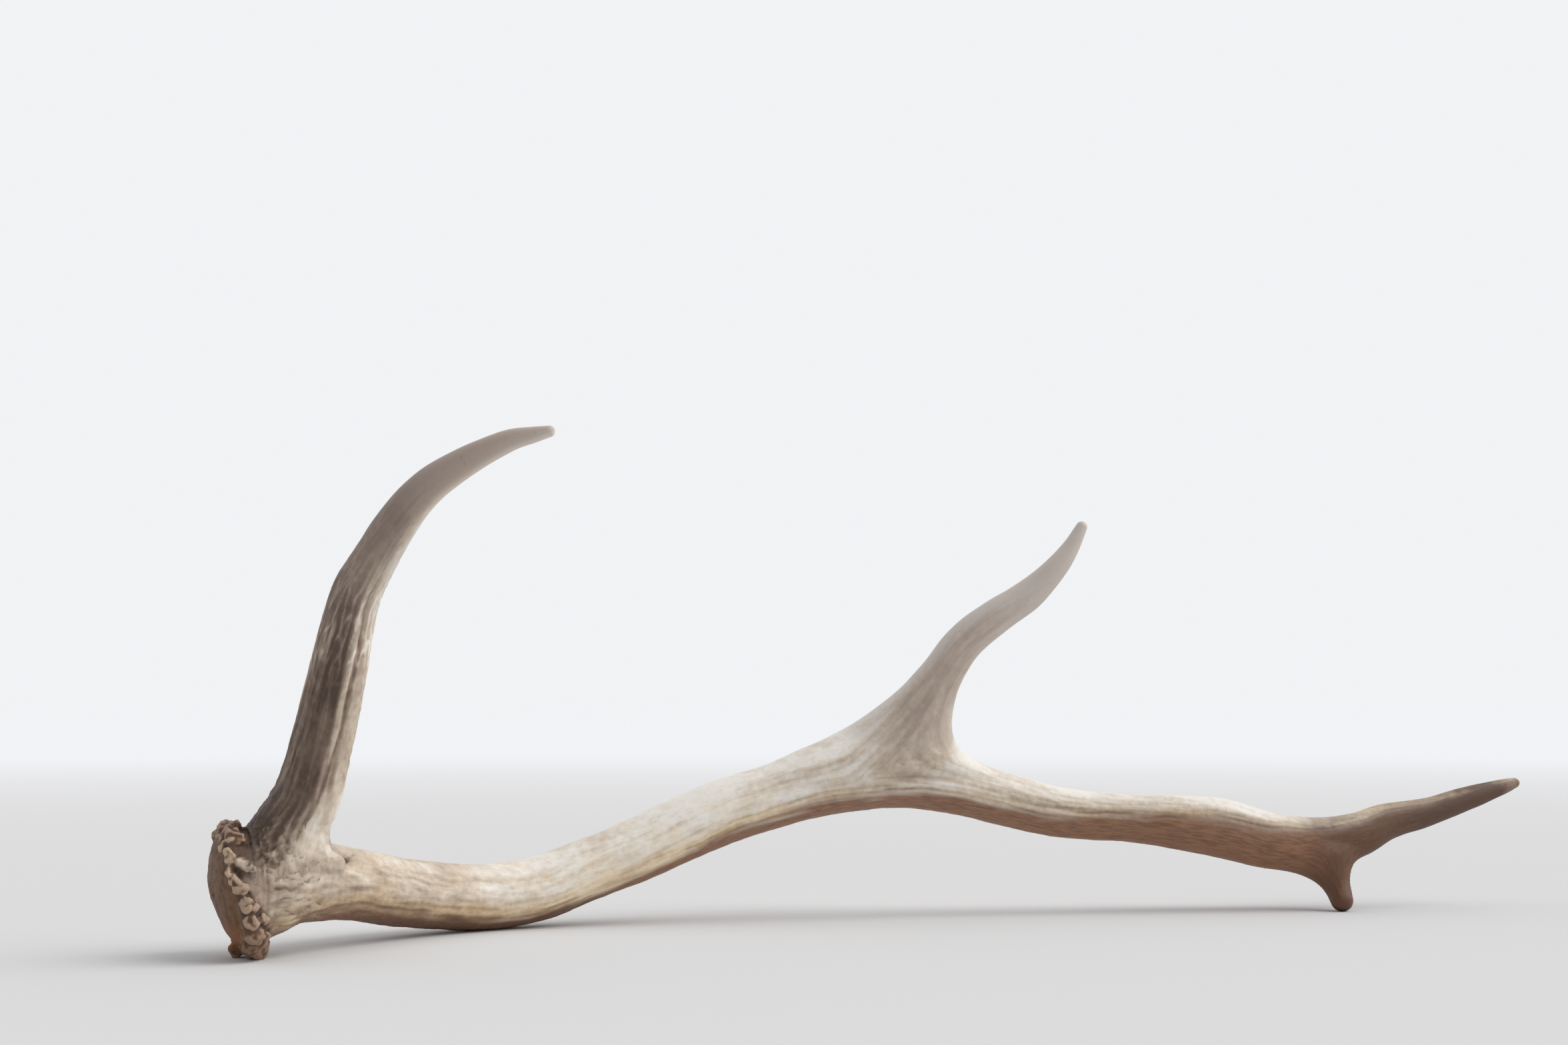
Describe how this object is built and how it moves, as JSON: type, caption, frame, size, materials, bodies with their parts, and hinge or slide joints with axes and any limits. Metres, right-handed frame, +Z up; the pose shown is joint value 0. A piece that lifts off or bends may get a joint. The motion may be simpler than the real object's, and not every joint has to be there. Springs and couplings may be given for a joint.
{
  "type": "deer antler",
  "caption": "Shed deer antler with a pearled burr, a curved brow tine, an upper tine and a forked tip, lying on a flat surface.",
  "frame": {"origin": "under the middle of the bounding box, on the surface that the antler lies on", "axes": "+X from the burr towards the terminal tine, +Z up, +Y to the back of the bow"},
  "size_m": [0.6373, 0.175, 0.2011],
  "materials": {
    "antler_beam": "matte bone",
    "antler_tine": "satin bone",
    "antler_tip": "satin bone"
  },
  "bodies": {
    "root": {"main_beam": "antler_beam", "brow_tine": "antler_tine", "tray_tine": "antler_tine", "inner_tine": "antler_tip"}
  },
  "joints": []
}
